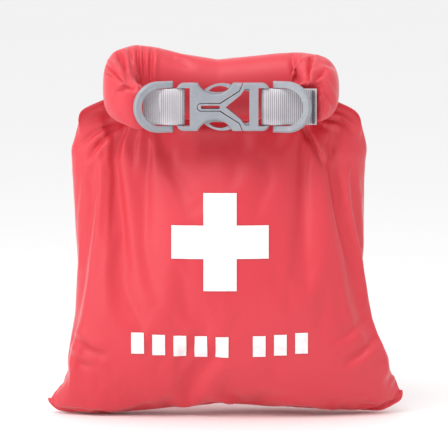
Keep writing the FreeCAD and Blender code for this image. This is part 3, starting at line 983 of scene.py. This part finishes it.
def webbing_material():
    """Pale grey woven polyester: fine twill across the ribs, with painted shade in the grooves between them.
    """
    n = Nodes("grey_webbing")
    place = n.object_place()
    split = n.add("SeparateXYZ", {"Vector": place})
    ticks = n.math("SINE", n.math("MULTIPLY", split.outputs[2], 2 * math.pi / 0.0009))
    fibre = n.noise(place, 2600.0, 2.0)
    tone = n.noise(place, 60.0, 3.0)
    base = n.mix(n.ramp(tone, 0.3, 0.7), (0.54, 0.51, 0.545, 1), (0.66, 0.63, 0.66, 1))
    # painted shade: the hollows between the ribs are mixed towards dark grey
    rib_groove_painted_shade = n.ramp(n.add("NewGeometry").outputs["Pointiness"], 0.47, 0.53)
    base = n.mix(rib_groove_painted_shade, (0.20, 0.19, 0.22, 1), base)
    normal = n.bump(n.math("ADD", ticks, fibre), 0.35, 0.00010)
    return n.finish(Base_Color=base, Roughness=0.72, Normal=normal, Sheen_Weight=0.2, Sheen_Roughness=0.5)


def moulded_material():
    """Grey acetal: a fine spark-eroded grain, and rims painted lighter in patches: a painted highlight along
    the edges, partly rub.
    """
    n = Nodes("grey_moulded_plastic")
    place = n.object_place()
    grain = n.noise(place, 3200.0, 2.0)
    flow = n.noise(place, 70.0, 4.0, 0.6)
    base = n.mix(n.ramp(flow, 0.3, 0.7), (0.285, 0.300, 0.335, 1), (0.315, 0.330, 0.365, 1))
    # painted highlight: convex edges are mixed lighter grey in patches in place of light on the rims; partly
    # rub
    painted_highlight_and_rub = n.ramp(n.add("NewGeometry").outputs["Pointiness"], 0.54, 0.66)
    scuff = n.ramp(n.noise(place, 420.0, 3.0), 0.45, 0.8)
    base = n.mix(n.math("MULTIPLY", n.math("MULTIPLY", painted_highlight_and_rub, scuff), 0.5), base, (0.55, 0.56, 0.59, 1))
    normal = n.bump(grain, 0.18, 0.00008)
    rough = n.math("ADD", 0.36, n.math("MULTIPLY", scuff, 0.12))
    return n.finish(Base_Color=base, Roughness=rough, Normal=normal)


def ink_material():
    """White screen-print ink that follows the weave, a little thin in places."""
    n = Nodes("white_ink")
    place = n.object_place()
    split = n.add("SeparateXYZ", {"Vector": place})
    flat = n.add("CombineXYZ", {"X": split.outputs[0], "Y": split.outputs[2]}).outputs[0]
    weave = weave_height(n, flat, WEAVE_PITCH)
    mottle = n.noise(place, 300.0, 3.0)
    base = n.mix(n.ramp(mottle, 0.25, 0.6), (0.86, 0.80, 0.81, 1), (0.92, 0.91, 0.91, 1))
    normal = n.bump(n.noise(place, 110.0, 3.0, 0.6), 0.08, 0.0012)
    normal = n.bump(weave, 0.10, 0.0001, normal)
    return n.finish(Base_Color=base, Roughness=0.42, Normal=normal)


def thread_material():
    """Dark bonded thread."""
    n = Nodes("dark_thread")
    twist = n.noise(n.object_place(), 2500.0, 2.0)
    base = n.mix(twist, (0.05, 0.05, 0.06, 1), (0.14, 0.14, 0.16, 1))
    return n.finish(Base_Color=base, Roughness=0.8, Normal=n.bump(twist, 0.4, 0.0001))


def plain_material(name, colour, rough, grain_scale, metallic=0.0):
    """A quiet finish for what is sealed inside: slight mottling and grain."""
    n = Nodes(name)
    place = n.object_place()
    grain = n.noise(place, grain_scale, 3.0)
    darker = tuple(c * 0.86 for c in colour) + (1,)
    base = n.mix(grain, darker, tuple(colour) + (1,))
    return n.finish(Base_Color=base, Roughness=rough, Metallic=metallic, Normal=n.bump(grain, 0.2, 0.0003))


def dress(piece, material):
    """Gives the piece this material and no other."""
    piece.data.materials.clear()
    piece.data.materials.append(material)


# ---------------------------------------------------------------- studio
FLOOR_HALF = 60.0  # metres, so that the floor reaches the horizon


def set_view():
    """Plain display colours."""
    bpy.context.scene.view_settings.view_transform = "Standard"
    bpy.context.scene.view_settings.look = "None"


def area_light(name, place, target, size, energy):
    """A soft rectangular light that faces the target."""
    lamp = bpy.data.lights.new(name, "AREA")
    lamp.shape = "RECTANGLE"
    lamp.size, lamp.size_y = size
    lamp.energy = energy
    made = bpy.data.objects.new(name, lamp)
    made.location = place
    made.rotation_euler = (Vector(target) - Vector(place)).to_track_quat("-Z", "Y").to_euler()
    bpy.context.scene.collection.objects.link(made)


def make_studio(middle):
    """A pale floor, an even pale world, a large soft light above and a weak one from the left."""
    set_view()
    points = [(x * FLOOR_HALF, y * FLOOR_HALF, 0.0) for x, y in ((-1, -1), (1, -1), (1, 1), (-1, 1))]
    floor = mesh_object("floor", points, [(0, 1, 2, 3)], False)
    n = Nodes("pale_floor")
    tone = n.noise(n.object_place(), 3.0)
    base = n.mix(tone, (0.955, 0.955, 0.955, 1), (0.97, 0.97, 0.97, 1))
    dress(floor, n.finish(Base_Color=base, Roughness=0.9))
    make_world()
    area_light("key", (-0.30, -0.60, 1.05), middle, (0.7, 0.5), 5.8)
    area_light("left_fill", (-1.0, -0.7, 0.4), middle, (0.5, 0.8), 3.2)


def make_world():
    """An even pale surround, brighter above and behind the object than in front of it."""
    world = bpy.data.worlds.new("studio")
    bpy.context.scene.world = world
    world.use_nodes = True
    tree = world.node_tree
    way = tree.nodes.new("ShaderNodeSeparateXYZ")
    tree.links.new(tree.nodes.new("ShaderNodeTexCoord").outputs["Generated"], way.inputs[0])
    parts = []
    for axis, low, high in (("Y", 0.52, 0.85), ("Z", -0.35, 0.35)):
        ramp = tree.nodes.new("ShaderNodeMapRange")
        ramp.inputs["From Min"].default_value = -1.0
        ramp.inputs["To Min"].default_value = low
        ramp.inputs["To Max"].default_value = high
        tree.links.new(way.outputs[axis], ramp.inputs["Value"])
        parts.append(ramp.outputs[0])
    total = tree.nodes.new("ShaderNodeMath")
    for part, socket in zip(parts, total.inputs):
        tree.links.new(part, socket)
    background = tree.nodes["Background"]
    background.inputs["Color"].default_value = (1.0, 1.0, 1.0, 1)
    tree.links.new(total.outputs[0], background.inputs["Strength"])


def make_camera(target, azimuth, elevation, distance, lens):
    """A camera that looks at the target; angles in degrees, lens in mm."""
    camera = bpy.data.cameras.new("camera")
    made = bpy.data.objects.new("camera", camera)
    bpy.context.scene.collection.objects.link(made)
    a, e = math.radians(azimuth), math.radians(elevation)
    away = Vector((math.sin(a) * math.cos(e), -math.cos(a) * math.cos(e), math.sin(e)))
    made.location = Vector(target) + away * distance
    made.rotation_euler = (-away).to_track_quat("-Z", "Y").to_euler()
    camera.lens = lens
    camera.clip_start = 0.02
    bpy.context.scene.camera = made


# ---------------------------------------------------------------- assembly
RING_BAR = {"left": -26.5, "right": 32.0}  # mm, x of each ring's straight bar
CONTENTS = (
    "bandage_roll_wide",
    "bandage_roll_narrow",
    "tape_roll",
    "gauze_pack",
    "triangular_bandage_pack",
    "plaster_box",
    "rescue_blanket_pack",
    "glove_pack",
)
CROSS = (1.1, 101.0, 27.0, 9.2)  # mm: middle x and z, half length and half width of an arm
BARS = (-48.5, 53.0, 38.5, 11.8)  # mm: left and right end of the row, its base and height


def mm_box(*nodes):
    """The box round some CAD nodes, in mm."""
    lows, highs = zip(*(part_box(node) for node in nodes))
    low = [min(p[k] for p in lows) / MM for k in range(3)]
    high = [max(p[k] for p in highs) / MM for k in range(3)]
    return low, high


def main():
    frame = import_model()
    nodes = frame["nodes"]

    low, high = mm_box("collar_roll_middle")
    roll_y = (low[1] + high[1]) / 2 + 0.4

    red = fabric_material()
    grey = moulded_material()
    weave = webbing_material()

    pouch, flat, pins, index = make_pouch()
    hidden_floor = floor_collider()
    inflate(pouch, flat, pins)
    bpy.data.objects.remove(hidden_floor)
    fit_profile(pouch)
    fit_front_edge(pouch)
    tuck_shoulders(pouch)
    clear_contents(pouch, [nodes[name] for name in CONTENTS])
    subdivide(pouch)
    press_creases(pouch, POUCH_CREASES)
    press_creases(pouch, POUCH_BACK_CREASES, 1.0)
    dress(pouch, red)
    clear = plain_material("clear_tape", (0.62, 0.62, 0.64), 0.35, 500.0)
    for side, column in (("left", 0), ("right", PANEL_COLUMNS)):
        tape = make_seam_tape(side + "_seam_tape", pouch, index, column)
        dress(tape, clear)
        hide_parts("seam_tape_" + side)
        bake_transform(tape)
    tree = front_tree(pouch)
    cross, bars = make_prints(tree)
    ink = ink_material()
    for decal in (cross, bars):
        dress(decal, ink)
        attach(decal, "bag")
    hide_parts("front_panel", "back_panel", "base_panel", "collar_neck")
    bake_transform(pouch)

    collar = make_collar(roll_y)
    settle_collar(collar, roll_y)
    subdivide(collar)
    press_creases(collar, COLLAR_CREASES)
    press_creases(collar, COLLAR_BACK_CREASES, 1.0)
    low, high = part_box("right_strap")
    tuck_under_strap(collar, high[1] + 0.2 * MM, low[0], high[0], low[2], high[2])
    dress(collar, red)
    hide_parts("collar_roll_middle", "collar_roll_left_end", "collar_roll_right_end")
    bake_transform(collar)

    for side, body in (("left", "closure"), ("right", "right_end")):
        low, high = mm_box(side + "_strap")
        plane = (low[1] + high[1]) / 2
        strap = make_webbing(side, low, high, plane)
        dress(strap, weave)
        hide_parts(side + "_strap")
        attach(strap, body)

    low, high = mm_box("right_strap")
    tack = make_bar_tack("right_bar_tack", high[0] - 2.0, low[2] + 0.8, high[2] - 0.8, low[1] + 0.62)
    dress(tack, thread_material())
    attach(tack, "right_end")

    for node in ("buckle_socket", "buckle_plug_frame", "buckle_upper_latch", "buckle_lower_latch",
                 "left_d_ring", "right_d_ring"):
        dress(nodes[node], grey)

    inner = (
        ("lip_stiffener_front", "stiff_sheet", (0.2, 0.2, 0.21), 0.5, 800.0, 0.0),
        ("lip_stiffener_back", "stiff_sheet", (0.2, 0.2, 0.21), 0.5, 800.0, 0.0),
        ("bandage_roll_wide", "crepe", (0.86, 0.84, 0.78), 0.9, 1200.0, 0.0),
        ("bandage_roll_narrow", "crepe", (0.86, 0.84, 0.78), 0.9, 1200.0, 0.0),
        ("tape_roll", "crepe", (0.86, 0.84, 0.78), 0.9, 1200.0, 0.0),
        ("gauze_pack", "paper", (0.86, 0.86, 0.84), 0.7, 400.0, 0.0),
        ("triangular_bandage_pack", "paper", (0.86, 0.86, 0.84), 0.7, 400.0, 0.0),
        ("plaster_box", "card", (0.78, 0.8, 0.84), 0.6, 300.0, 0.0),
        ("rescue_blanket_pack", "foil", (0.75, 0.76, 0.78), 0.25, 150.0, 1.0),
        ("glove_pack", "film", (0.68, 0.76, 0.86), 0.3, 200.0, 0.0),
    )
    made = {}
    for node, name, colour, rough, scale, metallic in inner:
        if name not in made:
            made[name] = plain_material(name, colour, rough, scale, metallic)
        dress(nodes[node], made[name])

    make_studio((0.0, 0.0, 0.1))
    make_camera((0.0033, -0.020, 0.1098), 0.0, 6.0, 2.2, 316.0)


main()
